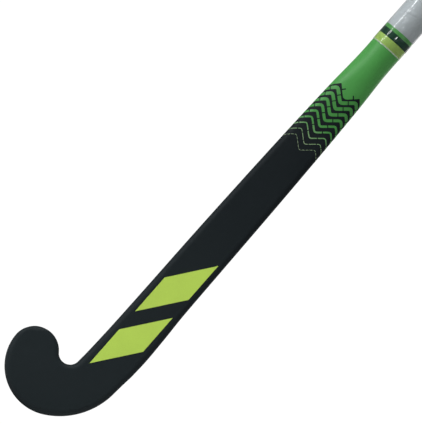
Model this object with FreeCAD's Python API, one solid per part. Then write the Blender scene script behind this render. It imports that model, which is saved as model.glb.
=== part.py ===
"""Field hockey stick, adult size, built up the way a moulded composite stick is built.

A hollow fibre laminate is the whole outside of the stick. Inside it are two laminate tubes side by side,
whose touching walls make the rib that stiffens the shaft, a foam core in the head with reinforcing inserts
round it, damping plugs and foam in the lower shaft, and a plug and a cap that close the butt. Outside are
the printed transfers, the base tape and cushion tape of the grip, the finishing tapes and a clear film.

The stick is drawn flat first. In that flat drawing x runs across the playing face, from the toe side (-) to
the heel side (+), s runs up the face from the lowest point of the head, and b is the depth behind the face.
place() then bends the drawing to the bow of the stick. The stick hangs upright, butt up, playing face
towards -Y and toe towards -X, with the origin on the handle's axis at the middle of the clear film.
Millimetres throughout.
"""

import FreeCAD, Part

import math
import os

from FreeCAD import Placement, Rotation, Vector

# Length
LENGTH = 927.0            # from the lowest point of the head to the butt end
CAP_DISC = 5.0            # the cap's disc, above the laminate
LAMINATE_TOP = LENGTH - CAP_DISC

# Handle, from the stick outwards
HANDLE_R = 14.4           # bare handle
BASE_TAPE_R = 15.0
GRIP_R = 16.4             # over the cushion tape
FILM_R = 16.6             # over the clear film
HANDLE_BOTTOM = 545.0     # bare handle is straight and round from here up
COLLAR_R = 16.0           # stick under the finishing tape
FINISHING_R = 16.25       # over the finishing tape, which carries a lime and a dark band
LIME_BAND = 482.6
DARK_BAND = 491.9
BARE_BAND = 499.0
GRIP_BOTTOM = 502.6
FILM_BOTTOM = 482.0
ORIGIN_S = (FILM_BOTTOM + LAMINATE_TOP) / 2
WRAP_PITCH = 27.0         # cushion tape's overlap shows as a shallow helical groove
WRAP_GROOVE = 0.5

# Bow, seen from the side: straight handle, one arc, straight head
BOW_TOP = 360.0
BOW_BOTTOM = 130.0
BOW_ANGLE = math.radians(10.0)
BOW_R = (BOW_TOP - BOW_BOTTOM) / BOW_ANGLE

# Head outline in the flat drawing
TOE_R = 23.2              # round lobe at the end of the hook
TOE = (-62.0, 46.1)
CROOK_R = 10.6            # inside of the hook
SOLE_R = 46.9             # underside of the hook
HEEL_R = 72.9             # outside of the bend, up to the shaft
HEEL_TANGENT = math.radians(-60.3)
NECK_X = -24.2            # toe side of the shaft where the crook begins
HEAD_THICKNESS = 26.0
TOE_THICKNESS = 20.0
FACE_EDGE_R = 5.5
TOE_ROUNDING = 10.0       # length over which the back falls to the tip
TOE_LAST = math.radians(85.5)

# Walls and fillings
SHELL_WALL = 2.2
TUBE_WALL = 1.1
CORE_TOP = 92.0           # foam core below, hollow tubes above
FACE_INSERT = 1.2
EDGE_INSERT = 2.5
DAMPER_TOP = 122.0
FOAM_TOP = 200.0
PLUG_BOTTOM = LAMINATE_TOP - 35.0
CAP_EDGE = 2.0
SPIGOT_R = 7.0
SPIGOT_LENGTH = 22.0

# Print
PRINT = 0.15              # thickness of a transfer
WAVE_COUNT = 9
WAVE_TOP = 419.6          # mean height of the top wave
WAVE_STEP = 7.45
WAVE_PERIOD = 23.5
WAVE_SWING = 4.4
WAVE_CREST_X = 13.25
WAVE_WIDEST = 4.6         # green of the top wave, shrinking to a hairline at the bottom
PANEL_BOTTOM = WAVE_TOP + WAVE_STEP - WAVE_WIDEST / 2
BARS = (70.5, 136.5)      # lowest corner of each slanted face bar
BAR_X = (-15.0, 16.0)
BAR_HEIGHT = 43.0
BAR_RISE = 42.0           # how much higher a bar's heel side is than its toe side


def polar(centre, radius, angle):
    return centre[0] + radius * math.cos(angle), centre[1] + radius * math.sin(angle)


def ray_to_circle(start, angle, centre, radius):
    """Where a ray from start leaves a circle that it starts inside."""
    dx, ds = start[0] - centre[0], start[1] - centre[1]
    along = dx * math.cos(angle) + ds * math.sin(angle)
    reach = -along + math.sqrt(along**2 - dx**2 - ds**2 + radius**2)
    return polar(start, reach, angle)


# Centres of the head's other circles, each tangent to the next one round the outline
CROOK_X = NECK_X - CROOK_R
CROOK = (CROOK_X, TOE[1] + math.sqrt((TOE_R + CROOK_R) ** 2 - (CROOK_X - TOE[0]) ** 2))
HOOK_ANGLE = math.atan2(TOE[1] - CROOK[1], TOE[0] - CROOK[0])
SOLE = (TOE[0] + math.sqrt((SOLE_R - TOE_R) ** 2 - (SOLE_R - TOE[1]) ** 2), SOLE_R)
HEEL = polar(SOLE, SOLE_R - HEEL_R, HEEL_TANGENT)
NECK_S = CROOK[1]
NECK_HEEL_X = ray_to_circle(CROOK, 0.0, HEEL, HEEL_R)[0]

# Shaft: s, width on the toe side, width on the heel side, thickness, roundness of the section (0 to 1) and
# set-back of the face
SHAFT = (
    (NECK_S, -NECK_X, NECK_HEEL_X, HEAD_THICKNESS, 0.0, 0.0),
    (76.0, 23.6, 22.4, 25.8, 0.0, 0.0),
    (90.0, 23.1, 23.7, 25.2, 0.0, 0.0),
    (110.0, 22.6, 24.3, 24.2, 0.0, 0.0),
    (135.0, 22.3, 23.7, 23.2, 0.0, 0.0),
    (165.0, 22.1, 22.5, 22.5, 0.0, 0.0),
    (220.0, 21.9, 21.9, 22.5, 0.0, 0.0),
    (300.0, 21.0, 21.0, 23.0, 0.0, 0.0),
    (360.0, 19.9, 19.9, 24.2, 0.15, 0.0),
    (420.0, 18.2, 18.2, 27.5, 0.6, 0.0),
    (472.0, COLLAR_R, COLLAR_R, 2 * COLLAR_R, 1.0, 0.0),
    (503.0, COLLAR_R, COLLAR_R, 2 * COLLAR_R, 1.0, 0.0),
    (HANDLE_BOTTOM, HANDLE_R, HANDLE_R, 2 * HANDLE_R, 1.0, COLLAR_R - HANDLE_R),
)


def shaft_at(s):
    """The shaft's figures at s, each by a cubic through its column that never overshoots a row."""
    at = [row[0] for row in SHAFT]
    i = max(k for k in range(len(at) - 1) if k == 0 or at[k] <= s)
    step = at[i + 1] - at[i]
    u = (s - at[i]) / step
    found = []
    for values in list(zip(*SHAFT))[1:]:
        slopes = [(values[k + 1] - values[k]) / (at[k + 1] - at[k]) for k in range(len(at) - 1)]
        pairs = [(slopes[0], slopes[0])] + list(zip(slopes, slopes[1:])) + [(slopes[-1], 0.0)]
        bends = [0.0 if p * q <= 0 else 2 * p * q / (p + q) for p, q in pairs]
        found.append(
            values[i] * (1 + 2 * u) * (1 - u) ** 2
            + bends[i] * step * u * (1 - u) ** 2
            + values[i + 1] * u * u * (3 - 2 * u)
            - bends[i + 1] * step * u * u * (1 - u)
        )
    return found


def turn_at(s):
    return min(max((BOW_TOP - s) / BOW_R, 0.0), BOW_ANGLE)


def place(x, s, b):
    """The point of the bowed stick for a point of the flat drawing."""
    turn = turn_at(s)
    below = max(BOW_BOTTOM - s, 0.0)
    y = -BOW_R * (1 - math.cos(turn)) - below * math.sin(turn)
    z = s if s > BOW_TOP else BOW_TOP - BOW_R * math.sin(turn) - below * math.cos(turn)
    return Vector(x, y - COLLAR_R + b * math.cos(turn), z - ORIGIN_S - b * math.sin(turn))


def frame_at(s):
    """Placement with its X across the face, Y into the stick and Z up the face at s."""
    return Placement(place(0, s, 0), Rotation(Vector(1, 0, 0), -math.degrees(turn_at(s))))


def block(s, low, high, x=(-120.0, 120.0), b=(-40.0, 60.0)):
    """A box that reaches from low to high along the face, measured from the section at s."""
    box = Part.makeBox(x[1] - x[0], b[1] - b[0], high - low, Vector(x[0], b[0], low))
    box.Placement = frame_at(s)
    return box


def bolster(centre, radius):
    """A cylinder square to the head's face, round a point of the flat drawing."""
    cylinder = Part.makeCylinder(radius, 100.0, Vector(centre[0], -40.0, centre[1]), Vector(0, 1, 0))
    cylinder.Placement = frame_at(0.0)
    return cylinder


def tube(bottom, top, outer, inner=0.0):
    """A round tube on the handle's axis, between two values of s."""
    start = Vector(0, 0, bottom - ORIGIN_S)
    solid = Part.makeCylinder(outer, top - bottom, start)
    return solid.cut(Part.makeCylinder(inner, top - bottom, start)) if inner else solid


def section(toe_side, heel_side, thickness, edge_r, face, roundness=0.0):
    """Closed wire between two points of the flat drawing.

    Roundness 0 is a flat face, round edges and a half-elliptic back, and roundness 1 is an ellipse. Each of
    the five curves is a conic with two ends and a corner where its end tangents meet.
    """
    half = math.dist(toe_side, heel_side) / 2
    ex, es = (heel_side[0] - toe_side[0]) / (2 * half), (heel_side[1] - toe_side[1]) / (2 * half)
    xm, sm = (toe_side[0] + heel_side[0]) / 2, (toe_side[1] + heel_side[1]) / 2
    edge_r = min(edge_r, 0.9 * half, 0.45 * thickness)
    depth = thickness / 2
    diagonal = math.sqrt(0.5)

    def at(flat_point, round_point, mirror=1):
        across, into = [p + (q - p) * roundness for p, q in zip(flat_point, round_point)]
        return place(xm + ex * across * mirror, sm + es * across * mirror, face + into)

    def conic(start, corner, end, weight):
        curve = Part.BezierCurve()
        curve.setPoles([start, corner, end])
        curve.setWeight(2, weight)
        return curve.toShape()

    middle = at((0, 0), (0, depth * (1 - 1 / diagonal)))
    rim = [at((half - edge_r, 0), (half * diagonal, depth * (1 - diagonal)), side) for side in (1, -1)]
    cheek = [at((half, 0), (half, depth * (2 - 1 / diagonal)), side) for side in (1, -1)]
    flank = [at((half, edge_r), (half, depth), side) for side in (1, -1)]
    hip = [at((half, thickness), (half, thickness), side) for side in (1, -1)]
    back = at((0, thickness), (0, thickness))
    edge_weight = diagonal + (math.cos(math.pi / 8) - diagonal) * roundness
    return Part.Wire(
        [
            conic(rim[1], middle, rim[0], diagonal),
            conic(rim[0], cheek[0], flank[0], edge_weight),
            conic(flank[0], hip[0], back, diagonal),
            conic(back, hip[1], flank[1], diagonal),
            conic(flank[1], cheek[1], rim[1], edge_weight),
        ]
    )


def shaft_section(s, inset):
    toe_side, heel_side, thickness, roundness, setback = shaft_at(s)
    ends = (-toe_side + inset, s), (heel_side - inset, s)
    return section(*ends, thickness - 2 * inset, FACE_EDGE_R - inset, setback + inset, roundness)


def bend_section(angle, inset):
    """A section through the crook's centre, turned from the shaft's (0) towards the toe's (HOOK_ANGLE)."""
    joint = polar(HEEL, HEEL_R, HEEL_TANGENT)
    joint_angle = math.atan2(joint[1] - CROOK[1], joint[0] - CROOK[0])
    centre, radius = (HEEL, HEEL_R) if angle > joint_angle else (SOLE, SOLE_R)
    inner = polar(CROOK, CROOK_R + inset, angle)
    outer = ray_to_circle(CROOK, angle, centre, radius - inset)
    share = angle / HOOK_ANGLE
    thickness = HEAD_THICKNESS + (TOE_THICKNESS - HEAD_THICKNESS) * share * share * (3 - 2 * share)
    return section(inner, outer, thickness - 2 * inset, FACE_EDGE_R - inset, inset)


def toe_section(share, inset):
    """A section across the toe's lobe, from its centre (0) to its tip (1)."""
    radius = TOE_R - inset
    reach = radius * share
    tip_angle = HOOK_ANGLE - math.pi / 2
    middle = polar(TOE, reach, tip_angle)
    half = math.sqrt(radius**2 - reach**2)
    inner = polar(middle, half, HOOK_ANGLE + math.pi)
    outer = polar(middle, half, HOOK_ANGLE)
    joint_angle = math.atan2(TOE[1] - SOLE[1], TOE[0] - SOLE[0])
    if reach < radius * math.cos(joint_angle - tip_angle):
        outer = ray_to_circle(middle, HOOK_ANGLE, SOLE, SOLE_R - inset)
    edge_r = FACE_EDGE_R - inset
    lift = max(0.0, reach - radius + edge_r) / edge_r
    fall = max(0.0, reach - TOE_R + TOE_ROUNDING) / (TOE_ROUNDING - inset)
    face = edge_r * (1 - math.sqrt(1 - lift**2))
    back = edge_r + (TOE_THICKNESS - 2 * inset - edge_r) * math.sqrt(1 - fall**2)
    return section(inner, outer, back - face, edge_r, inset + face)


def loft(wires):
    return Part.makeLoft(wires, True)


def joined(shapes):
    return shapes[0].fuse(shapes[1:])


def steps(start, end, count):
    return [start + (end - start) * k / count for k in range(count + 1)]


def head(inset):
    """The stick below CORE_TOP, with its surface moved inwards by inset."""
    toe = [toe_section(math.sin(angle), inset) for angle in steps(0.0, TOE_LAST, 10)]
    bend = [bend_section(angle, inset) for angle in steps(HOOK_ANGLE, 0.0, 14)]
    neck = [bend[-1]] + [shaft_section(s, inset) for s in steps(NECK_S, CORE_TOP, 3)[1:]]
    return joined([loft(toe), loft(bend), loft(neck)])


def shaft(inset):
    return loft([shaft_section(s, inset) for s in steps(CORE_TOP, HANDLE_BOTTOM, 26)])


def handle(inset, bottom=HANDLE_BOTTOM, top=LAMINATE_TOP):
    return tube(bottom, top, HANDLE_R - inset)


def wave(middle, width):
    """A prism through the stick whose outline is one printed wave."""
    across = steps(-WAVE_PERIOD, WAVE_PERIOD, 24)
    sides = []
    for height in (middle - width / 2, middle + width / 2):
        crest = [WAVE_SWING * math.cos(2 * math.pi * (x - WAVE_CREST_X) / WAVE_PERIOD) for x in across]
        curve = Part.BSplineCurve()
        curve.interpolate([Vector(x, -60, height + rise - ORIGIN_S) for x, rise in zip(across, crest)])
        sides.append(curve.toShape())
    corners = [[side.Vertexes[k].Point for side in sides] for k in (0, 1)]
    ends = [Part.LineSegment(low, high).toShape() for low, high in corners]
    outline = Part.Wire([sides[0], ends[1], sides[1], ends[0]])
    return Part.Face(outline).extrude(Vector(0, 120, 0))


def bar(low):
    """A prism into the front of the stick whose outline is one slanted face bar."""
    middle = low + (BAR_HEIGHT + BAR_RISE) / 2
    left, right = BAR_X
    rises = (left, 0.0), (right, BAR_RISE), (right, BAR_RISE + BAR_HEIGHT), (left, BAR_HEIGHT), (left, 0.0)
    outline = Part.makePolygon([Vector(x, -15, low + rise - middle) for x, rise in rises])
    prism = Part.Face(outline).extrude(Vector(0, 25, 0))
    prism.Placement = frame_at(middle)
    return prism


def wrapped_grip():
    """The cushion tape, with the helical line where each turn laps the one below."""
    body = tube(GRIP_BOTTOM, LAMINATE_TOP, GRIP_R)
    height = LAMINATE_TOP - GRIP_BOTTOM + 2 * WRAP_PITCH
    helix = Part.makeHelix(WRAP_PITCH, height, GRIP_R)
    helix.translate(Vector(0, 0, GRIP_BOTTOM - ORIGIN_S - WRAP_PITCH))
    start = helix.Edges[0].valueAt(helix.Edges[0].FirstParameter)
    corners = [(-WRAP_GROOVE, 0), (0.3, -WRAP_GROOVE), (0.3, 3 * WRAP_GROOVE), (-WRAP_GROOVE, WRAP_GROOVE)]
    points = [start + Vector(x, 0, z) for x, z in corners]
    profile = Part.makePolygon(points + points[:1])
    groove = Part.Wire(helix.Edges).makePipeShell([profile], True, True)
    return body.cut(groove)


def end_cap():
    disc = tube(LAMINATE_TOP, LENGTH, GRIP_R)
    rims = [edge for edge in disc.Edges if edge.BoundBox.ZMin > LENGTH - ORIGIN_S - 0.1]
    spigot = tube(LAMINATE_TOP - SPIGOT_LENGTH, LAMINATE_TOP, SPIGOT_R)
    return disc.makeFillet(CAP_EDGE, rims).fuse(spigot)


outer_head, outer_shaft = head(0.0), shaft(0.0)
inner_head, inner_shaft = head(SHELL_WALL), shaft(SHELL_WALL)
bore_shaft = shaft(SHELL_WALL + TUBE_WALL)
solid_stick = joined([outer_head, outer_shaft, handle(0.0)])
parts = {}

parts["outer_shell"] = joined(
    [
        outer_head.cut(inner_head),
        outer_shaft.cut(inner_shaft),
        handle(0.0).cut(handle(SHELL_WALL)),
    ]
)

# Twin tubes and what fills them
stretches = (
    (inner_shaft, bore_shaft),
    (handle(SHELL_WALL, top=PLUG_BOTTOM), handle(SHELL_WALL + TUBE_WALL, top=PLUG_BOTTOM)),
)
damped = block(DAMPER_TOP, -60.0, 0.0)
foamed = block(DAMPER_TOP, 0.0, 120.0).common(block(FOAM_TOP, -120.0, 0.0))
for name, side in (("toe_side", -1), ("heel_side", 1)):
    half = Part.makeBox(60, 200, LENGTH, Vector(-60 if side < 0 else 0, -120, -ORIGIN_S))
    shifted = half.translated(Vector(side * TUBE_WALL, 0, 0))
    walls = [outside.common(half).cut(inside.common(shifted)) for outside, inside in stretches]
    parts["inner_tube_" + name] = joined(walls)
    bore = bore_shaft.common(shifted)
    parts["damper_plug_" + name] = bore.common(damped)
    parts["shaft_foam_" + name] = bore.common(foamed)

# Head core and the inserts round it
face_slab = block(0.0, -20.0, CORE_TOP, b=(-40.0, SHELL_WALL + FACE_INSERT))
parts["head_face_insert"] = inner_head.common(face_slab)
core = inner_head.cut(face_slab)
crook_band = bolster(CROOK, CROOK_R + SHELL_WALL + EDGE_INSERT)
parts["crook_insert"] = core.common(crook_band)
heel_side = block(0.0, -20.0, CORE_TOP, x=(SOLE[0], 60.0))
parts["heel_insert"] = core.common(heel_side).cut(bolster(HEEL, HEEL_R - SHELL_WALL - EDGE_INSERT))
toe_tip = block(0.0, -20.0, CORE_TOP, x=(-120.0, TOE[0] - 6.0))
parts["toe_insert"] = core.common(toe_tip).cut(bolster(TOE, TOE_R - SHELL_WALL - EDGE_INSERT))
inserts = [parts[name] for name in ("crook_insert", "heel_insert", "toe_insert")]
parts["head_core"] = core.cut(inserts)

# Butt
parts["end_cap"] = end_cap()
parts["handle_plug"] = handle(SHELL_WALL, PLUG_BOTTOM).cut(parts["end_cap"])

# Tapes and film
parts["base_tape"] = tube(HANDLE_BOTTOM, LAMINATE_TOP, BASE_TAPE_R, HANDLE_R)
parts["grip_tape"] = wrapped_grip().cut([solid_stick, parts["base_tape"]])
parts["finishing_tape"] = tube(LIME_BAND, GRIP_BOTTOM, FINISHING_R).cut(solid_stick)
parts["lime_band"] = tube(LIME_BAND, DARK_BAND, GRIP_R, FINISHING_R)
parts["dark_band"] = tube(DARK_BAND, BARE_BAND, GRIP_R, FINISHING_R)
parts["clear_film"] = tube(FILM_BOTTOM, LAMINATE_TOP, FILM_R, GRIP_R)

# Print: thin skins of the shaft, cut to shape
neck_skin = head(-PRINT).common(block(0.0, NECK_S + 1.0, CORE_TOP)).cut(outer_head)
skin = joined([neck_skin, shaft(-PRINT).cut(outer_shaft)])
panel = block(LIME_BAND, PANEL_BOTTOM + 2 * WAVE_SWING - LIME_BAND, 0.0)
lower_edge = wave(PANEL_BOTTOM + 2 * WAVE_SWING, 4 * WAVE_SWING)
parts["green_panel"] = skin.common(panel.fuse(lower_edge))
waves = []
for k in range(WAVE_COUNT):
    width = WAVE_WIDEST * (1 - k / WAVE_COUNT)
    waves += skin.common(wave(WAVE_TOP - k * WAVE_STEP, width)).Solids
parts["green_waves"] = Part.makeCompound(waves)
parts["face_bars"] = Part.makeCompound([skin.common(bar(low)).Solids[0] for low in BARS])

os.makedirs("parts", exist_ok=True)
for name, shape in parts.items():
    shape.exportStep(os.path.join("parts", name + ".step"))
    print(name, len(shape.Solids), round(shape.Volume / 1000, 2), shape.isValid())
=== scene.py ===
"""Visual model of the field hockey stick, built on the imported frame."""

import math
import random
from functools import lru_cache

import bpy
from mathutils import Matrix, Vector, noise

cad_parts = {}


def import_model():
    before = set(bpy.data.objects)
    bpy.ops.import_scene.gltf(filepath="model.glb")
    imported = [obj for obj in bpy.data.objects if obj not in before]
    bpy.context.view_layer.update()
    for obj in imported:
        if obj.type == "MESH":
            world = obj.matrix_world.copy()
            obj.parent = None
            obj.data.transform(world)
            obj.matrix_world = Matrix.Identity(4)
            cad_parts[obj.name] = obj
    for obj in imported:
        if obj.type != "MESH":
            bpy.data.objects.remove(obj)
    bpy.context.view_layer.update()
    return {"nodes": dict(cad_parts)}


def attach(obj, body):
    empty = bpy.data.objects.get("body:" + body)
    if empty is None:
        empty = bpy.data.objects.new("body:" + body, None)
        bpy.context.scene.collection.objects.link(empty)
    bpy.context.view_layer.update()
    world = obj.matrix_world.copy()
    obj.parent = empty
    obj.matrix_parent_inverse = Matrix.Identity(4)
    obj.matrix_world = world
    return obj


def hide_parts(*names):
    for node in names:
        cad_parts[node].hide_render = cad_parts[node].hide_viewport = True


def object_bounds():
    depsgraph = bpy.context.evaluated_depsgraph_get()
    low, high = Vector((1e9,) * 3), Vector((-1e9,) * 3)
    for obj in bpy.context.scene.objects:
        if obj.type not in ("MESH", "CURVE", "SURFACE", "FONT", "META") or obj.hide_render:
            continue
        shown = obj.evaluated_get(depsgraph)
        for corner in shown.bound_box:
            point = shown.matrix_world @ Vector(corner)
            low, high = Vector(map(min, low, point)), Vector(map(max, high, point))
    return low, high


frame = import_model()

MM = 0.001

# The stick's own dimensions, in millimetres, as in its design
LENGTH = 927.0
LAMINATE_TOP = 922.0
HANDLE_R = 14.4
GRIP_R = 16.4
COLLAR_R = 16.0
FINISHING_R = 16.25
LIME_BAND = 482.6
DARK_BAND = 491.9
BARE_BAND = 499.0
GRIP_BOTTOM = 502.6
FILM_BOTTOM = 482.0
ORIGIN_S = (FILM_BOTTOM + LAMINATE_TOP) / 2
HANDLE_BOTTOM = 545.0
BOW_TOP = 360.0
BOW_BOTTOM = 130.0
BOW_ANGLE = math.radians(10.0)
BOW_R = (BOW_TOP - BOW_BOTTOM) / BOW_ANGLE
TOE_R = 23.2
TOE = (-62.0, 46.1)
CROOK_R = 10.6
SOLE_R = 46.9
HEEL_R = 72.9
HEEL_TANGENT = math.radians(-60.3)
NECK_X = -24.2
HEAD_THICKNESS = 26.0
TOE_THICKNESS = 20.0
FACE_EDGE_R = 5.5
TOE_ROUNDING = 10.0
PRINT = 0.12  # how far a print's front stands above the laminate
PRINT_BACK = -0.05  # and where its hidden back is


# ---------------------------------------------------------------- shape of the stick


def polar(centre, radius, angle):
    return centre[0] + radius * math.cos(angle), centre[1] + radius * math.sin(angle)


def ray_to_circle(start, angle, centre, radius):
    dx, ds = start[0] - centre[0], start[1] - centre[1]
    along = dx * math.cos(angle) + ds * math.sin(angle)
    return polar(start, -along + math.sqrt(along**2 - dx**2 - ds**2 + radius**2), angle)


CROOK_X = NECK_X - CROOK_R
CROOK = (CROOK_X, TOE[1] + math.sqrt((TOE_R + CROOK_R) ** 2 - (CROOK_X - TOE[0]) ** 2))
HOOK_ANGLE = math.atan2(TOE[1] - CROOK[1], TOE[0] - CROOK[0])
SOLE = (TOE[0] + math.sqrt((SOLE_R - TOE_R) ** 2 - (SOLE_R - TOE[1]) ** 2), SOLE_R)
HEEL = polar(SOLE, SOLE_R - HEEL_R, HEEL_TANGENT)
NECK_S = CROOK[1]
NECK_HEEL_X = ray_to_circle(CROOK, 0.0, HEEL, HEEL_R)[0]

SHAFT = (
    (NECK_S, -NECK_X, NECK_HEEL_X, HEAD_THICKNESS, 0.0, 0.0),
    (76.0, 23.6, 22.4, 25.8, 0.0, 0.0),
    (90.0, 23.1, 23.7, 25.2, 0.0, 0.0),
    (110.0, 22.6, 24.3, 24.2, 0.0, 0.0),
    (135.0, 22.3, 23.7, 23.2, 0.0, 0.0),
    (165.0, 22.1, 22.5, 22.5, 0.0, 0.0),
    (220.0, 21.9, 21.9, 22.5, 0.0, 0.0),
    (300.0, 21.0, 21.0, 23.0, 0.0, 0.0),
    (360.0, 19.9, 19.9, 24.2, 0.15, 0.0),
    (420.0, 18.2, 18.2, 27.5, 0.6, 0.0),
    (472.0, COLLAR_R, COLLAR_R, 2 * COLLAR_R, 1.0, 0.0),
    (503.0, COLLAR_R, COLLAR_R, 2 * COLLAR_R, 1.0, 0.0),
    (HANDLE_BOTTOM, HANDLE_R, HANDLE_R, 2 * HANDLE_R, 1.0, COLLAR_R - HANDLE_R),
)


def shaft_at(s):
    at = [row[0] for row in SHAFT]
    if s >= at[-1]:
        return list(SHAFT[-1][1:])
    i = max(k for k in range(len(at) - 1) if k == 0 or at[k] <= s)
    step = at[i + 1] - at[i]
    u = (s - at[i]) / step
    found = []
    for values in list(zip(*SHAFT))[1:]:
        slopes = [(values[k + 1] - values[k]) / (at[k + 1] - at[k]) for k in range(len(at) - 1)]
        pairs = [(slopes[0], slopes[0])] + list(zip(slopes, slopes[1:])) + [(slopes[-1], 0.0)]
        bends = [0.0 if p * q <= 0 else 2 * p * q / (p + q) for p, q in pairs]
        found.append(
            values[i] * (1 + 2 * u) * (1 - u) ** 2
            + bends[i] * step * u * (1 - u) ** 2
            + values[i + 1] * u * u * (3 - 2 * u)
            - bends[i + 1] * step * u * u * (1 - u)
        )
    return found


def place(x, s, b):
    """A point of the stick, in metres, from the flat drawing: x across the face, s up it, b behind it."""
    turn = min(max((BOW_TOP - s) / BOW_R, 0.0), BOW_ANGLE)
    below = max(BOW_BOTTOM - s, 0.0)
    y = -BOW_R * (1 - math.cos(turn)) - below * math.sin(turn)
    z = s if s > BOW_TOP else BOW_TOP - BOW_R * math.sin(turn) - below * math.cos(turn)
    return Vector((x, y - COLLAR_R + b * math.cos(turn), z - ORIGIN_S - b * math.sin(turn))) * MM


def profile(half, thickness, edge_r, roundness, counts):
    """One section's outline as (across, depth) points, face first, from the toe side round to the back."""
    edge_r = min(edge_r, 0.9 * half, 0.45 * thickness)
    depth = thickness / 2
    diagonal = math.sqrt(0.5)

    def mix(flat_point, round_point, mirror=1):
        across, into = [p + (q - p) * roundness for p, q in zip(flat_point, round_point)]
        return across * mirror, into

    middle = mix((0, 0), (0, depth * (1 - 1 / diagonal)))
    rim = [mix((half - edge_r, 0), (half * diagonal, depth * (1 - diagonal)), side) for side in (1, -1)]
    cheek = [mix((half, 0), (half, depth * (2 - 1 / diagonal)), side) for side in (1, -1)]
    flank = [mix((half, edge_r), (half, depth), side) for side in (1, -1)]
    hip = [(half, thickness), (-half, thickness)]
    back = (0, thickness)
    edge_weight = diagonal + (math.cos(math.pi / 8) - diagonal) * roundness
    conics = (
        (rim[1], middle, rim[0], diagonal, counts[0]),
        (rim[0], cheek[0], flank[0], edge_weight, counts[1]),
        (flank[0], hip[0], back, diagonal, counts[2]),
        (back, hip[1], flank[1], diagonal, counts[2]),
        (flank[1], cheek[1], rim[1], edge_weight, counts[1]),
    )
    points = []
    for start, corner, end, weight, count in conics:
        for k in range(count):
            t = k / count
            w = ((1 - t) ** 2, 2 * t * (1 - t) * weight, t * t)
            axes = zip(start, corner, end)
            points.append(tuple(sum(a * c for a, c in zip(w, axis)) / sum(w) for axis in axes))
    return points


def ring(toe_side, heel_side, thickness, face=0.0, roundness=0.0, edge_r=FACE_EDGE_R):
    half = math.dist(toe_side, heel_side) / 2
    ex, es = (heel_side[0] - toe_side[0]) / (2 * half), (heel_side[1] - toe_side[1]) / (2 * half)
    xm, sm = (toe_side[0] + heel_side[0]) / 2, (toe_side[1] + heel_side[1]) / 2
    outline = profile(half, thickness, edge_r, roundness, (20, 8, 18))
    return [place(xm + ex * across, sm + es * across, face + into) for across, into in outline]


def shaft_ring(s):
    toe_side, heel_side, thickness, roundness, setback = shaft_at(s)
    return ring((-toe_side, s), (heel_side, s), thickness, setback, roundness)


def bend_ring(angle):
    joint = polar(HEEL, HEEL_R, HEEL_TANGENT)
    joint_angle = math.atan2(joint[1] - CROOK[1], joint[0] - CROOK[0])
    centre, radius = (HEEL, HEEL_R) if angle > joint_angle else (SOLE, SOLE_R)
    share = angle / HOOK_ANGLE
    thickness = HEAD_THICKNESS + (TOE_THICKNESS - HEAD_THICKNESS) * share * share * (3 - 2 * share)
    return ring(polar(CROOK, CROOK_R, angle), ray_to_circle(CROOK, angle, centre, radius), thickness)


def toe_ring(angle):
    reach = TOE_R * math.sin(angle)
    tip_angle = HOOK_ANGLE - math.pi / 2
    middle = polar(TOE, reach, tip_angle)
    half = TOE_R * math.cos(angle)
    inner, outer = polar(middle, half, HOOK_ANGLE + math.pi), polar(middle, half, HOOK_ANGLE)
    joint_angle = math.atan2(TOE[1] - SOLE[1], TOE[0] - SOLE[0])
    if reach < TOE_R * math.cos(joint_angle - tip_angle):
        outer = ray_to_circle(middle, HOOK_ANGLE, SOLE, SOLE_R)
    lift = max(0.0, reach - TOE_R + FACE_EDGE_R) / FACE_EDGE_R
    fall = max(0.0, reach - TOE_R + TOE_ROUNDING) / TOE_ROUNDING
    face = FACE_EDGE_R * (1 - math.sqrt(1 - lift**2))
    back = FACE_EDGE_R + (TOE_THICKNESS - FACE_EDGE_R) * math.sqrt(1 - fall**2)
    return ring(inner, outer, back - face, face)


GIRTH_STEPS = 4  # outlines worked out per millimetre of shaft


@lru_cache(maxsize=None)
def girth(step):
    """Outline of the shaft at one step of s, its running length, and that length at x = 0."""
    toe_side, heel_side, thickness, roundness, setback = shaft_at(step / GIRTH_STEPS)
    half, xm = (toe_side + heel_side) / 2, (heel_side - toe_side) / 2
    outline = profile(half, thickness, FACE_EDGE_R, roundness, (24, 16, 30))
    points = [(a + xm, b + setback) for a, b in outline]
    points.append(points[0])
    lengths = [0.0]
    for p, q in zip(points, points[1:]):
        lengths.append(lengths[-1] + math.dist(p, q))
    k = next(k for k in range(len(points)) if points[k + 1][0] > 0)
    zero = lengths[k] + (lengths[k + 1] - lengths[k]) * -points[k][0] / (points[k + 1][0] - points[k][0])
    return points, lengths, zero


def on_girth(step, u):
    """The point u round an outline, and the direction square to it there."""
    points, lengths, zero = girth(step)
    whole = lengths[-1]
    at = (u + zero) % whole
    low, high = 0, len(lengths) - 1
    while high - low > 1:
        mid = (low + high) // 2
        low, high = (mid, high) if lengths[mid] <= at else (low, mid)
    t = (at - lengths[low]) / (lengths[high] - lengths[low])
    (xa, ba), (xb, bb) = points[low], points[high]
    span = math.dist(points[low], points[high])
    return xa + (xb - xa) * t, ba + (bb - ba) * t, (bb - ba) / span, -(xb - xa) / span


def skin(u, s, lift=PRINT):
    """The point lift above the shaft's surface, u round it from x = 0 on the face and s up it."""
    step = int(s * GIRTH_STEPS)
    t = s * GIRTH_STEPS - step
    a, b = on_girth(step, u), on_girth(step + 1, u)
    x, depth, nx, nb = [p + (q - p) * t for p, q in zip(a, b)]
    return place(x + nx * lift, s, depth + nb * lift)


def perimeter(s):
    return girth(int(s * GIRTH_STEPS))[1][-1]


# ---------------------------------------------------------------- meshes


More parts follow.
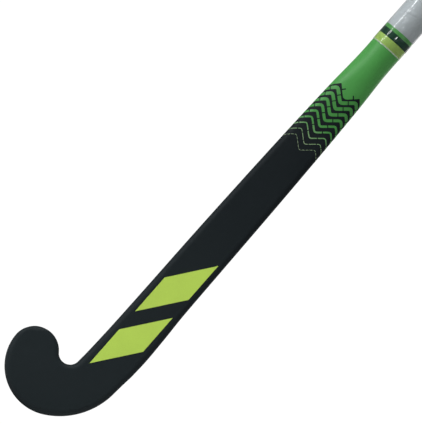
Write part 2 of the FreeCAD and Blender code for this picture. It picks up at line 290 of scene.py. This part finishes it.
def mesh_object(name, points, faces, material, replaced=None, sharp=None):
    mesh = bpy.data.meshes.new(name)
    mesh.from_pydata([tuple(p) for p in points], [], faces)
    mesh.validate()
    mesh.polygons.foreach_set("use_smooth", [True] * len(mesh.polygons))
    if sharp is not None:
        mesh.set_sharp_from_angle(angle=math.radians(sharp))
    mesh.materials.append(material)
    piece = bpy.data.objects.new(name, mesh)
    bpy.context.scene.collection.objects.link(piece)
    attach(piece, "root")
    if replaced:
        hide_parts(replaced)
    return piece


def grid_faces(rows, columns, closed, start=0):
    faces = []
    for i in range(rows - 1):
        for j in range(columns if closed else columns - 1):
            a, b = start + i * columns + j, start + i * columns + (j + 1) % columns
            faces.append((a, b, b + columns, a + columns))
    return faces


def shell_mesh(name, rows, material, replaced):
    """A solid from closed rings of points, its first and last ring filled in."""
    columns = len(rows[0])
    points = [p for row in rows for p in row]
    faces = grid_faces(len(rows), columns, True)
    for row, flip in ((0, True), (len(rows) - 1, False)):
        points.append(sum(rows[row], Vector()) / columns)
        for j in range(columns):
            a, b = row * columns + j, row * columns + (j + 1) % columns
            faces.append((b, a, len(points) - 1) if flip else (a, b, len(points) - 1))
    return mesh_object(name, points, faces, material, replaced)


def patch(points, faces, outer, inner, closed=False):
    """Adds a thin solid plate between two equal grids of points."""
    rows, columns = len(outer), len(outer[0])
    start = len(points)
    points += [p for row in outer for p in row]
    faces += grid_faces(rows, columns, closed, start)
    back = len(points)
    points += [p for row in inner for p in row]
    faces += [f[::-1] for f in grid_faces(rows, columns, closed, back)]
    for row in (0, rows - 1):
        for j in range(columns if closed else columns - 1):
            a, b = row * columns + j, row * columns + (j + 1) % columns
            quad = (start + a, back + a, back + b, start + b)
            faces.append(quad if row == 0 else quad[::-1])
    if not closed:
        for column in (0, columns - 1):
            for i in range(rows - 1):
                a, b = i * columns + column, (i + 1) * columns + column
                quad = (start + a, start + b, back + b, back + a)
                faces.append(quad if column == 0 else quad[::-1])


# ---------------------------------------------------------------- materials


class Nodes:
    """Short way to write a material's node tree."""

    def __init__(self, name):
        self.material = bpy.data.materials.new(name)
        self.material.use_nodes = True
        self.tree = self.material.node_tree
        self.tree.nodes.clear()
        self.output = self.new("ShaderNodeOutputMaterial")
        self.coords = self.new("ShaderNodeTexCoord").outputs["Object"]

    def new(self, kind, **settings):
        node = self.tree.nodes.new(kind)
        for key, value in settings.items():
            setattr(node, key, value)
        return node

    def link(self, source, target):
        self.tree.links.new(source, target)

    def put(self, node, values):
        for key, value in values.items():
            if isinstance(value, bpy.types.NodeSocket):
                self.link(value, node.inputs[key])
            else:
                node.inputs[key].default_value = value
        return node

    def math(self, operation, a, b=0.0):
        node = self.new("ShaderNodeMath", operation=operation)
        return self.put(node, {0: a, 1: b}).outputs[0]

    def noise(self, scale, detail=4.0, roughness=0.5, stretch=None):
        vector = self.coords
        if stretch:
            vector = self.put(self.new("ShaderNodeMapping"), {"Vector": vector, "Scale": stretch}).outputs[0]
        values = {"Vector": vector, "Scale": scale, "Detail": detail, "Roughness": roughness}
        return self.put(self.new("ShaderNodeTexNoise"), values).outputs["Fac"]

    def ramp(self, factor, stops):
        node = self.new("ShaderNodeValToRGB")
        elements = node.color_ramp.elements
        while len(elements) < len(stops):
            elements.new(0.5)
        for element, (position, colour) in zip(elements, stops):
            element.position = position
            element.color = (*colour, 1.0)
        self.link(factor, node.inputs["Fac"])
        return node.outputs["Color"]

    def spread(self, factor, low, high):
        """A noise value stretched from its usual 0.3 to 0.7 on to low to high."""
        values = {"Value": factor, "From Min": 0.3, "From Max": 0.7, "To Min": low, "To Max": high}
        return self.put(self.new("ShaderNodeMapRange"), values).outputs["Result"]

    def bump(self, height, strength, distance, normal=None):
        values = {"Height": height, "Strength": strength, "Distance": distance}
        if normal:
            values["Normal"] = normal
        return self.put(self.new("ShaderNodeBump"), values).outputs["Normal"]

    def shader(self, **values):
        node = self.new("ShaderNodeBsdfPrincipled")
        self.put(node, {key.replace("_", " "): value for key, value in values.items()})
        self.link(node.outputs["BSDF"], self.output.inputs["Surface"])


def srgb(*levels):
    """A colour given as 0 to 255 screen levels, as the linear values that shaders use."""
    shares = [level / 255 for level in levels]
    return tuple(c / 12.92 if c <= 0.04045 else ((c + 0.055) / 1.055) ** 2.4 for c in shares)


def shade(colour, factor):
    return tuple(c * factor for c in colour)


def painted(name, colour, rough, grain, vary=0.12, spec=0.5, grain_size=900.0):
    """Paint or print: slightly mottled colour, fine grain in the surface and uneven sheen."""
    n = Nodes(name)
    cloud = n.noise(22.0, 5.0, 0.6)
    fine = n.noise(grain_size, 2.0, 0.6)
    both = n.math("ADD", n.math("MULTIPLY", cloud, 0.6), n.math("MULTIPLY", fine, 0.4))
    base = n.ramp(both, [(0.3, shade(colour, 1 - vary)), (0.7, shade(colour, 1 + vary))])
    roughness = n.spread(n.noise(60.0, 3.0), rough * 0.85, min(1.0, rough * 1.15))
    normal = n.bump(fine, grain, 0.0002)
    n.shader(Base_Color=base, Roughness=roughness, Normal=normal, Specular_IOR_Level=spec)
    return n.material


def foam(name, colour, cell):
    n = Nodes(name)
    voronoi = n.put(n.new("ShaderNodeTexVoronoi"), {"Vector": n.coords, "Scale": 1 / (cell * MM)})
    cells = voronoi.outputs["Distance"]
    base = n.ramp(cells, [(0.0, shade(colour, 0.7)), (0.6, colour)])
    n.shader(Base_Color=base, Roughness=n.spread(n.noise(80.0), 0.8, 0.95), Normal=n.bump(cells, 0.6, 0.0004))
    return n.material


def woven(name, colour, pitch, rough):
    """Crossed fibres: two waves at right angles, as in a laminate or an aramid cloth."""
    n = Nodes(name)
    turned = n.put(n.new("ShaderNodeMapping"), {"Vector": n.coords, "Rotation": (0.0, math.radians(45), 0.0)})
    parts = n.put(n.new("ShaderNodeSeparateXYZ"), {"Vector": turned.outputs[0]})
    waves = []
    for axis in ("X", "Z"):
        phase = n.math("MULTIPLY", parts.outputs[axis], 2 * math.pi / (pitch * MM))
        waves.append(n.math("SINE", phase))
    weave = n.math("MULTIPLY_ADD", n.math("MULTIPLY", waves[0], waves[1]), 0.5)
    weave.node.inputs[2].default_value = 0.5
    base = n.ramp(weave, [(0.0, shade(colour, 0.6)), (1.0, shade(colour, 1.2))])
    n.shader(Base_Color=base, Roughness=n.spread(n.noise(90.0), rough - 0.06, rough + 0.06),
             Normal=n.bump(weave, 0.4, 0.0002))
    return n.material


def body_paint():
    """Matte black lacquer: fine tooth, a faint trace of the fibres, and painted light that makes it lighter
    and greyer towards the head.
    """
    n = Nodes("matte_black_lacquer")
    cloud = n.noise(14.0, 6.0, 0.62)
    tooth = n.noise(1500.0, 2.0, 0.6)
    fibres = n.noise(420.0, 3.0, 0.6, stretch=(1.0, 1.0, 0.06))
    mixed = n.math("ADD", n.math("MULTIPLY", cloud, 0.55), n.math("MULTIPLY", fibres, 0.45))
    height = n.put(n.new("ShaderNodeSeparateXYZ"), {"Vector": n.coords}).outputs["Z"]
    # Painted light: the lacquer gets lighter towards the head, in place of the head's face tilting up into
    # the light; a little mottling is mixed in.
    painted_head_light = n.put(n.new("ShaderNodeMapRange"),
                 {"Value": height, "From Min": -0.36, "From Max": -0.66}).outputs["Result"]
    mottle_and_painted_head_light = n.math("ADD", n.math("MULTIPLY", painted_head_light, 0.8), n.math("MULTIPLY", n.spread(mixed, 0.0, 1.0), 0.2))
    base = n.ramp(mottle_and_painted_head_light, [(0.0, srgb(12, 21, 25)), (1.0, srgb(28, 37, 40))])
    roughness = n.spread(mixed, 0.56, 0.68)
    normal = n.bump(tooth, 0.25, 0.00012, n.bump(fibres, 0.12, 0.00015))
    n.shader(Base_Color=base, Roughness=roughness, Normal=normal, Specular_IOR_Level=0.2)
    return n.material


def grip_leather():
    """Grey cushioned tape: a smooth skin, lightly grained, creased and mottled."""
    n = Nodes("grey_cushion_tape")
    creases = n.noise(260.0, 6.0, 0.7, stretch=(1.0, 1.0, 0.5))
    cloud = n.noise(45.0, 5.0, 0.62)
    grain = n.put(n.new("ShaderNodeTexVoronoi"), {"Vector": n.coords, "Scale": 1500.0}).outputs["Distance"]
    mixed = n.math("ADD", n.math("MULTIPLY", creases, 0.45), n.math("MULTIPLY", cloud, 0.55))
    tint = n.ramp(mixed, [(0.3, srgb(154, 163, 165)), (0.7, srgb(187, 194, 197))])
    normal = n.bump(creases, 0.35, 0.0004, n.bump(grain, 0.2, 0.0001))
    n.shader(Base_Color=tint, Roughness=n.spread(cloud, 0.46, 0.6), Normal=normal, Specular_IOR_Level=0.35)
    return n.material


def film_material():
    """Thin clear wrap: nearly invisible, with bright streaks on its folds and a milky rolled lower edge."""
    n = Nodes("clear_shrink_film")
    folds = n.noise(150.0, 4.0, 0.6, stretch=(1.0, 1.0, 0.45))
    fine = n.noise(900.0, 2.0, 0.5)
    normal = n.bump(folds, 0.15, 0.0010, n.bump(fine, 0.05, 0.0002))
    height = n.put(n.new("ShaderNodeSeparateXYZ"), {"Vector": n.coords}).outputs["Z"]
    uneven = n.math("MULTIPLY_ADD", folds, 0.0012)
    n.link(height, uneven.node.inputs[2])
    edge = (FILM_BOTTOM + 2.5 - ORIGIN_S) * MM
    hem = n.put(n.new("ShaderNodeMapRange"),
                {"Value": uneven, "From Min": edge, "From Max": edge - 0.0004, "To Max": 0.34})
    cloud = n.put(n.new("ShaderNodeMapRange"),
                  {"Value": n.noise(80.0, 5.0, 0.65), "From Min": 0.56, "From Max": 0.8, "To Max": 0.14})
    milky = n.math("MAXIMUM", hem.outputs["Result"], cloud.outputs["Result"])
    front = n.math("SUBTRACT", 1.0, n.new("ShaderNodeNewGeometry").outputs["Backfacing"])
    clear = n.new("ShaderNodeBsdfTransparent")
    haze = n.put(n.new("ShaderNodeBsdfDiffuse"), {"Color": (0.74, 0.79, 0.84, 1), "Normal": normal})
    gloss = n.put(n.new("ShaderNodeBsdfGlossy"), {"Roughness": 0.13, "Normal": normal})
    fresnel = n.put(n.new("ShaderNodeFresnel"), {"IOR": 1.5, "Normal": normal}).outputs[0]
    body = n.put(n.new("ShaderNodeMixShader"),
                 {0: n.math("MULTIPLY", milky, front), 1: clear.outputs[0], 2: haze.outputs[0]})
    mixed = n.put(n.new("ShaderNodeMixShader"),
                  {0: n.math("MULTIPLY", fresnel, front), 1: body.outputs[0], 2: gloss.outputs[0]})
    n.link(mixed.outputs[0], n.output.inputs["Surface"])
    return n.material


def wave_paint():
    """Green print that thins out to pale grey-green hairlines at the lowest waves."""
    n = Nodes("green_wave_print")
    height = n.put(n.new("ShaderNodeSeparateXYZ"), {"Vector": n.coords}).outputs["Z"]
    fade = n.put(n.new("ShaderNodeMapRange"),
                 {"Value": height, "From Min": (388 - ORIGIN_S) * MM, "From Max": (360 - ORIGIN_S) * MM})
    fine = n.noise(1100.0, 3.0, 0.65)
    fade = n.math("ADD", fade.outputs["Result"], n.spread(fine, -0.12, 0.12))
    base = n.ramp(fade, [(0.0, srgb(66, 141, 64)), (0.12, srgb(74, 148, 72)), (1.0, srgb(146, 166, 132))])
    n.shader(Base_Color=base, Roughness=n.spread(n.noise(60.0), 0.4, 0.52), Normal=n.bump(fine, 0.15, 0.0002),
             Specular_IOR_Level=0.35)
    return n.material


BODY = body_paint()
GREEN = painted("green_gloss_transfer", srgb(72, 150, 70), 0.46, 0.05, 0.06, 0.35)
WAVE_GREEN = wave_paint()
LIME = painted("lime_face_print", srgb(194, 227, 93), 0.55, 0.25, 0.07, 0.3, grain_size=1400.0)
BAND_LIME = painted("lime_band_tape", srgb(152, 187, 90), 0.4, 0.1, 0.07, 0.3)
BAND_GREEN = painted("green_finishing_tape", srgb(76, 148, 72), 0.4, 0.15, 0.06, 0.3)
BAND_DARK = painted("dark_green_band_tape", srgb(8, 56, 38), 0.5, 0.1, 0.1, 0.15)
GRIP = grip_leather()
FILM = film_material()
RUBBER = painted("black_rubber", srgb(34, 35, 37), 0.6, 0.5, 0.12, 0.35, grain_size=700.0)


# ---------------------------------------------------------------- the stick's pieces


def steps(start, end, count):
    return [start + (end - start) * k / count for k in range(count + 1)]


def stick_body():
    rows = [toe_ring(angle) for angle in steps(math.radians(89.4), 0.0, 26)][:-1]
    rows += [bend_ring(angle) for angle in steps(HOOK_ANGLE, 0.0, 56)][:-1]
    rows += [shaft_ring(s) for s in steps(NECK_S, HANDLE_BOTTOM, 190)]
    rows += [shaft_ring(s) for s in steps(HANDLE_BOTTOM, LAMINATE_TOP, 12)[1:]]
    return shell_mesh("stick_body", rows, BODY, "outer_shell")


# Printed waves: centre line of band k is WAVE_TOP - k * WAVE_STEP, and band -1 is the panel's lower edge
WAVE_TOP = 419.6
WAVE_STEP = 7.43
WAVE_PERIOD = 23.5
WAVE_VALLEY = 0.9
WAVE_SWING = 4.35
WAVE_WIDEST = 4.0
# Width of each band, from the top, and the number of dashes it has in one period
WAVE_BANDS = ((3.45, 2), (3.3, 2), (3.1, 2), (2.75, 2), (2.25, 2), (1.7, 2), (1.1, 2), (0.65, 4), (0.4, 8))
WAVE_GAP = 0.75
CUTS_MOST = 60
SEAM_CLEARANCE = 2  # the last cut keeps this far from the joint at the back
PANEL_SWING = 1.07  # swing of the panel's lower edge, as a share of the waves'
PANEL_LAP = 0.3  # how far the panel runs up under the tape
TICK_HALF = 0.45
TICK_ENDS = (-2.4, 1.6)


def zigzag(u):
    """A zigzag from -1 in the valleys to 1 on the crests, with rounded corners, and its slope."""
    sharpness = 0.95
    phase = 2 * math.pi * abs(u - WAVE_VALLEY) / WAVE_PERIOD
    c = -sharpness * math.cos(phase)
    slope = sharpness * math.sin(phase) / math.sqrt(1 - c * c) * 2 * math.pi / WAVE_PERIOD
    most = math.asin(sharpness)
    return math.asin(c) / most, slope / most * (1 if u > WAVE_VALLEY else -1)


def wave_point(k, u, offset, lift):
    """A point of band k: u along it and offset square to its centre line."""
    rise, slope = zigzag(u)
    tilt = math.hypot(1.0, slope * WAVE_SWING)
    s = WAVE_TOP - k * WAVE_STEP + WAVE_SWING * rise + offset / tilt
    return skin(u - offset * slope * WAVE_SWING / tilt, s, lift)


def wave_print():
    points, faces = [], []
    for k, (width, dashes) in enumerate(WAVE_BANDS):
        reach = perimeter(WAVE_TOP - k * WAVE_STEP) / 2
        dash = WAVE_PERIOD / dashes
        cuts = [dash * (j + 0.5) for j in range(CUTS_MOST) if dash * (j + 0.5) < reach - SEAM_CLEARANCE]
        ends = [0.0] + cuts + [reach]
        for side in (-1, 1):
            for a, b in zip(ends, ends[1:]):
                low = a + (WAVE_GAP / 2 if a > 0 else 0.0)
                high = b - (WAVE_GAP / 2 if b < reach else 0.0)
                across = [WAVE_VALLEY + side * u for u in steps(low, high, 14)][::side]
                outer, inner = [[[wave_point(k, u, width * (r - 1.5) / 3, lift) for u in across]
                                 for r in range(4)] for lift in (PRINT, PRINT_BACK)]
                patch(points, faces, outer, inner)
    return mesh_object("wave_print", points, faces, WAVE_GREEN, "green_waves", 30)


def green_panel():
    """The panel goes right round; its lower edge follows the waves."""
    rows, columns = 26, 300
    points, faces = [], []
    reach = perimeter(WAVE_TOP + WAVE_STEP) / 2
    outer, inner = [], []
    for i in range(rows + 1):
        for grid, lift in ((outer, PRINT), (inner, PRINT_BACK)):
            row = []
            for j in range(columns):
                share = 2 * j / columns - 1
                edge_u = WAVE_VALLEY + share * reach
                rise, slope = zigzag(edge_u)
                tilt = math.hypot(1.0, slope * WAVE_SWING)
                low = WAVE_TOP + WAVE_STEP + PANEL_SWING * WAVE_SWING * rise - WAVE_WIDEST / 2 * tilt
                t = i / rows
                s = low + (LIME_BAND + PANEL_LAP - low) * t
                u = WAVE_VALLEY + share * perimeter(s) / 2
                row.append(skin(u, s, lift))
            grid.append(row)
    patch(points, faces, outer, inner, closed=True)
    return mesh_object("green_panel_print", points, faces, GREEN, "green_panel", 40)


def wave_ticks():
    """Short strokes that run on from the cuts between the waves into the green panel."""
    points, faces = [], []
    for side in (-1, 1):
        middle = WAVE_VALLEY + side * WAVE_PERIOD / 4
        across = [middle - TICK_HALF, middle + TICK_HALF]
        outer, inner = [[[wave_point(-1, u, v, lift) for u in across]
                         for v in steps(*TICK_ENDS, 6)] for lift in (PRINT + 0.05, 0.04)]
        patch(points, faces, outer, inner)
    return mesh_object("wave_tick_print", points, faces, BODY, None, 30)


def face_bars():
    """Two plain slanted bars, each a parallelogram with upright sides, printed on the playing face."""
    left, right = -15.0, 16.0
    height, rise = 43.0, 42.0
    sunk = 0.1
    grid_rows = 40
    points, faces = [], []
    for low in (70.5, 136.5):
        outer, inner = [], []
        for i in range(grid_rows + 1):
            for grid, depth in ((outer, -PRINT), (inner, sunk)):
                row = []
                for x in steps(left, right, 16):
                    s = low + rise * (x - left) / (right - left) + height * (i / grid_rows)
                    row.append(place(x, s, depth))
                grid.append(row)
        patch(points, faces, outer, inner)
    return mesh_object("face_bar_print", points, faces, LIME, "face_bars", 30)


def handle_point(radius, angle, s):
    return Vector((radius * math.sin(angle), -radius * math.cos(angle), s - ORIGIN_S)) * MM


def band(name, low, high, radius, material, replaced, wobble):
    """A turn of tape round the handle, with softly rounded edges that wander a little."""
    count = 120
    below = ((low, 0.45), (low + 0.05, 0.12), (low + 0.3, 0.0))
    above = ((high - 0.3, 0.0), (high - 0.05, 0.12), (high, 0.45))
    rows = []
    for s, drop in below + above:
        row = []
        for j in range(count):
            angle = 2 * math.pi * j / count
            wander = wobble * noise.noise(Vector((2 * math.cos(angle), 2 * math.sin(angle), s)))
            row.append(handle_point(radius - drop * 0.5, angle, s + wander))
        rows.append(row)
    return shell_mesh(name, rows, material, replaced)


WRAP_PITCH = 27.0
SEAM_AT = GRIP_BOTTOM - WRAP_PITCH / 4


def cushion_grip():
    """The tape wound up the handle: each turn laps the one below in a soft ridge."""
    count = 108
    rows = []
    for s in steps(GRIP_BOTTOM, LAMINATE_TOP, 560):
        row = []
        for j in range(count):
            angle = 2 * math.pi * j / count
            turn = ((s - SEAM_AT) / WRAP_PITCH - angle / (2 * math.pi)) % 1.0
            along = turn * WRAP_PITCH
            lap = 0.22 * math.exp(-((along - 2.2) / 1.8) ** 2)
            seam = -0.16 * math.exp(-((min(along, WRAP_PITCH - along) / 0.6) ** 2))
            crown = 0.06 * math.sin(math.pi * turn)
            row.append(handle_point(16.06 + lap + seam + crown, angle, s))
        rows.append(row)
    rows.insert(0, [handle_point(15.6, 2 * math.pi * j / count, GRIP_BOTTOM) for j in range(count)])
    return shell_mesh("cushion_grip", rows, GRIP, "grip_tape")


# Creases in the film: x and s of the middle, length, half width and height, in mm, and lean in degrees
CREASES = (
    (-7.9, 493.6, 3.0, 0.7, 0.25, 86), (-8.3, 488.6, 4.0, 1.3, 0.4, 88), (-8.3, 485.3, 4.0, 1.2, 0.35, 92),
    (-8.4, 500.8, 4.0, 1.2, 0.4, 88), (-3.6, 507.0, 1.8, 0.7, 0.35, -80), (2.6, 519.8, 2.2, 0.8, 0.5, -40),
    (10.8, 511.2, 2.6, 0.8, 0.45, 25), (-3.8, 513.0, 3.4, 0.8, 0.4, 48), (-5.0, 516.6, 2.4, 0.7, 0.4, 20),
    (-6.3, 525.8, 2.6, 0.7, 0.5, 14), (-3.6, 525.6, 2.2, 0.7, 0.45, -20), (-4.9, 528.3, 1.5, 0.7, 0.45, 80),
    (-8.4, 517.4, 4.0, 1.1, 0.4, 86), (-8.4, 520.4, 4.0, 1.1, 0.4, 92), (-8.4, 526.5, 3.0, 0.9, 0.35, 84),
    (-8.4, 506.8, 4.0, 1.4, 0.4, 90), (7.5, 522.0, 2.4, 0.8, 0.4, 30), (1.5, 531.0, 2.6, 0.8, 0.45, -30),
    (-1.5, 537.0, 2.6, 0.8, 0.4, 20),
)
# Flat folds, given the same way: they rise evenly over their width and drop behind
FOLDS = (
    (0.4, 496.0, 4.8, 2.2, 1.5, 5), (-1.2, 507.8, 2.4, 1.6, 0.95, 50), (3.6, 517.6, 2.6, 1.7, 1.15, 44),
    (-5.2, 526.2, 1.8, 1.2, 0.65, 45), (2.0, 533.0, 2.2, 1.5, 0.95, 48), (-3.4, 514.4, 2.0, 1.3, 0.7, 46),
    (8.4, 512.2, 2.0, 1.5, 1.1, 40),
)


FILM_SKIN = 16.5
FILM_INSIDE = 16.42
FOLD_LIMIT = 1.5
FILM_FINE_TOP = 560.0  # rows are closer together below this
FILM_LOW, FILM_HIGH = FILM_BOTTOM + 0.5, LAMINATE_TOP


def film_creases():
    """Every crease: distance round the handle, s, length, half width, height, lean, and if it is flat."""
    chance = random.Random(11)
    creases = [(math.asin(x / GRIP_R) * GRIP_R, s, *rest, False) for x, s, *rest in CREASES]
    creases += [(math.asin(x / GRIP_R) * GRIP_R, s, *rest, True) for x, s, *rest in FOLDS]
    for _ in range(240):
        u, s = chance.uniform(-52, 52), chance.uniform(486, 918)
        if abs(u) > 22 or s > 548:
            length, width = chance.uniform(1.5, 5.0), chance.uniform(0.7, 1.0)
            height = chance.uniform(0.2, 0.6)
            lean = chance.choice((chance.gauss(0, 18), chance.gauss(-45, 20), chance.gauss(80, 12)))
            creases.append((u, s, length, width, height, lean, chance.random() < 0.2))
    return creases


def film_wrap():
    """The clear film, drawn tight over the bands and the grip, with creases where it has puckered."""
    columns = 300
    levels = steps(FILM_LOW, FILM_FINE_TOP, 105) + steps(FILM_FINE_TOP, FILM_HIGH, 205)[1:]
    whole = 2 * math.pi * GRIP_R
    lift = [[0.0] * columns for _ in levels]
    for u0, s0, length, width, height, lean, flat in film_creases():
        across, along = math.cos(math.radians(lean)), math.sin(math.radians(lean))
        for i, s in enumerate(levels):
            if abs(s - s0) > length + 2:
                continue
            for j in range(columns):
                du = (whole * j / columns - u0 + whole / 2) % whole - whole / 2
                if abs(du) < length + 2:
                    p, q = du * across - (s - s0) * along, du * along + (s - s0) * across
                    if flat:
                        across_it = max(0.0, min(p / width + 0.6, 1.0, 2.0 - 1.6 * p / width))
                    else:
                        across_it = math.exp(-((p / width) ** 2))
                    lift[i][j] += height * across_it * math.exp(-((2 * q / length) ** 4))
    rows = []
    for i, s in enumerate(levels):
        row = []
        for j in range(columns):
            angle = 2 * math.pi * j / columns
            around = Vector((math.cos(angle), math.sin(angle), 0.0))
            slack = 0.05 * noise.noise(around * 3.5 + Vector((0.0, 0.0, s * 0.09)))
            hem = 0.12 * math.exp(-((s - FILM_BOTTOM - 1.0) / 0.5) ** 2)
            row.append(handle_point(FILM_SKIN + slack + hem + min(lift[i][j], FOLD_LIMIT), angle, s))
        rows.append(row)
    for s in (FILM_HIGH, 800.0, 660.0, FILM_FINE_TOP, FILM_LOW):
        rows.append([handle_point(FILM_INSIDE, 2 * math.pi * j / columns, s) for j in range(columns)])
    rows.append(rows[0])
    count = len(rows) - 1
    points = [p for row in rows[:-1] for p in row]
    faces = [[k % (count * columns) for k in face] for face in grid_faces(count + 1, columns, True)]
    return mesh_object("film_wrap", points, faces, FILM, "clear_film")


def butt_cap():
    """Rubber cap: a rounded edge, and a shallow round groove and dish in the end."""
    count = 96
    outline = (
        (16.2, LAMINATE_TOP), (16.3, LAMINATE_TOP + 0.4), (16.3, LENGTH - 2.2), (16.1, LENGTH - 1.2),
        (15.5, LENGTH - 0.4), (14.6, LENGTH - 0.05), (13.4, LENGTH), (12.2, LENGTH), (11.8, LENGTH - 0.5),
        (9.6, LENGTH - 0.5), (9.2, LENGTH), (6.4, LENGTH), (6.0, LENGTH - 0.5), (1.5, LENGTH - 0.6),
    )
    rows = [[handle_point(r, 2 * math.pi * j / count, s) for j in range(count)] for r, s in outline]
    return shell_mesh("butt_cap", rows, RUBBER, "end_cap")


stick_body()
wave_print()
green_panel()
wave_ticks()
face_bars()
band("finishing_wrap", LIME_BAND, GRIP_BOTTOM + 0.2, FINISHING_R, BAND_GREEN,
     "finishing_tape", 0.1)
band("lime_band_wrap", LIME_BAND, DARK_BAND + 0.1, GRIP_R - 0.02, BAND_LIME, "lime_band", 0.12)
band("dark_band_wrap", DARK_BAND, BARE_BAND, GRIP_R, BAND_DARK, "dark_band", 0.12)
cushion_grip()
film_wrap()
butt_cap()

INSIDE = {
    "inner_tube_toe_side": woven("laminate_toe_tube", srgb(52, 54, 58), 2.0, 0.5),
    "inner_tube_heel_side": woven("laminate_heel_tube", srgb(52, 54, 58), 2.0, 0.5),
    "damper_plug_toe_side": painted("damper_rubber_toe", srgb(120, 62, 52), 0.65, 0.5),
    "damper_plug_heel_side": painted("damper_rubber_heel", srgb(120, 62, 52), 0.65, 0.5),
    "shaft_foam_toe_side": foam("shaft_foam_toe", srgb(222, 220, 206), 0.8),
    "shaft_foam_heel_side": foam("shaft_foam_heel", srgb(222, 220, 206), 0.8),
    "head_core": foam("head_core_foam", srgb(214, 196, 150), 0.5),
    "head_face_insert": woven("aramid_face", srgb(214, 176, 62), 1.6, 0.6),
    "crook_insert": woven("aramid_crook", srgb(214, 176, 62), 1.6, 0.6),
    "heel_insert": woven("aramid_heel", srgb(214, 176, 62), 1.6, 0.6),
    "toe_insert": woven("aramid_toe", srgb(214, 176, 62), 1.6, 0.6),
    "handle_plug": foam("handle_plug_foam", srgb(190, 172, 136), 0.7),
    "base_tape": woven("base_tape_cloth", srgb(198, 198, 192), 0.9, 0.85),
}
for node, material in INSIDE.items():
    slots = frame["nodes"][node].data.materials
    slots.clear()
    slots.append(material)


# ---------------------------------------------------------------- stage, light and camera

TILT = math.radians(41.3)
CENTRE = Vector((-23.0, 0.0, 255.7 - ORIGIN_S)) * MM
TALL = 402.62 * MM
LENS = 400.0
SENSOR = 36.0
FACE_DEPTH = -0.022  # the face's mean depth in the picture, which the framing is measured at
BACKDROP = 1.05  # what the camera sees of the floor and the room
ROOM_LIGHT = 0.21  # what the room gives the stick
FLOOR_HALF = 6.0
ABOVE_LEFT = Vector((-0.61, -0.37, 0.70))


def add_light(name, location, target, size, energy, colour=(1, 1, 1), glossy=True):
    data = bpy.data.lights.new(name, "AREA")
    data.shape = "RECTANGLE"
    data.size, data.size_y = size
    data.energy = energy
    data.color = colour
    light = bpy.data.objects.new(name, data)
    light.location = location
    light.visible_camera = False
    light.visible_glossy = glossy
    light.rotation_euler = (target - location).to_track_quat("-Z", "Y").to_euler()
    bpy.context.scene.collection.objects.link(light)


def floor():
    """Diffuse to the lights, and the same even white as the room to the camera."""
    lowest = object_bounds()[0].z
    mesh = bpy.data.meshes.new("studio_floor")
    corners = [(FLOOR_HALF * x, FLOOR_HALF * y, 0) for x, y in ((-1, -1), (1, -1), (1, 1), (-1, 1))]
    mesh.from_pydata(corners, [], [(0, 1, 2, 3)])
    n = Nodes("pale_floor")
    glow = n.put(n.new("ShaderNodeEmission"), {"Color": (1, 1, 1, 1), "Strength": BACKDROP})
    pale = n.put(n.new("ShaderNodeBsdfDiffuse"), {"Color": (0.9, 0.9, 0.9, 1)})
    path = n.new("ShaderNodeLightPath").outputs["Is Camera Ray"]
    mixed = n.put(n.new("ShaderNodeMixShader"), {0: path, 1: pale.outputs[0], 2: glow.outputs[0]})
    n.link(mixed.outputs[0], n.output.inputs["Surface"])
    mesh.materials.append(n.material)
    plane = bpy.data.objects.new("studio_floor", mesh)
    plane.location.z = lowest - 0.0005
    bpy.context.scene.collection.objects.link(plane)


def world():
    made = bpy.data.worlds.new("studio")
    bpy.context.scene.world = made
    made.use_nodes = True
    tree = made.node_tree
    tree.nodes.clear()
    output = tree.nodes.new("ShaderNodeOutputWorld")
    path = tree.nodes.new("ShaderNodeLightPath")
    mix = tree.nodes.new("ShaderNodeMixShader")
    tree.links.new(path.outputs["Is Camera Ray"], mix.inputs[0])
    for slot_number, strength in ((1, ROOM_LIGHT), (2, BACKDROP)):
        background = tree.nodes.new("ShaderNodeBackground")
        background.inputs["Color"].default_value = (1, 1, 1, 1)
        background.inputs["Strength"].default_value = strength
        tree.links.new(background.outputs[0], mix.inputs[slot_number])
    tree.links.new(mix.outputs[0], output.inputs["Surface"])


def camera():
    data = bpy.data.cameras.new("camera")
    data.lens = LENS
    data.sensor_width = SENSOR
    distance = TALL / 2 / (SENSOR / 2 / LENS)
    made = bpy.data.objects.new("camera", data)
    right = Vector((math.cos(TILT), 0.0, math.sin(TILT)))
    up = Vector((-math.sin(TILT), 0.0, math.cos(TILT)))
    back = Vector((0.0, -1.0, 0.0))
    face = Vector((0.0, FACE_DEPTH, 0.0))
    turn = Matrix((right, up, back)).transposed().to_4x4()
    made.matrix_world = Matrix.Translation(CENTRE + face + back * distance) @ turn
    data.clip_start, data.clip_end = 0.01, 100.0
    bpy.context.scene.collection.objects.link(made)
    bpy.context.scene.camera = made


floor()
world()
camera()
TARGET = Vector((-0.02, -0.03, -0.44))
GRIP_FOOT = Vector((0.0, -0.016, -0.20))
add_light("key", TARGET + ABOVE_LEFT * 2.0, TARGET, (1.8, 1.8), 13.0)
add_light("lamp", GRIP_FOOT + ABOVE_LEFT * 1.9, GRIP_FOOT, (0.45, 0.45), 10.0)
add_light("side", GRIP_FOOT + Vector((-1.41, -0.75, 0.10)), GRIP_FOOT, (0.3, 0.55), 8.0, (0.95, 0.97, 1.0))
add_light("rear", TARGET + Vector((0.35, 0.9, 0.25)) * 2.4, TARGET, (2.2, 2.2), 16.0)
add_light("fill", TARGET + Vector((0.985, -0.17, 0.0)) * 2.6, TARGET, (3.0, 3.0), 20.0, glossy=False)
bpy.context.scene.view_settings.view_transform = "Standard"
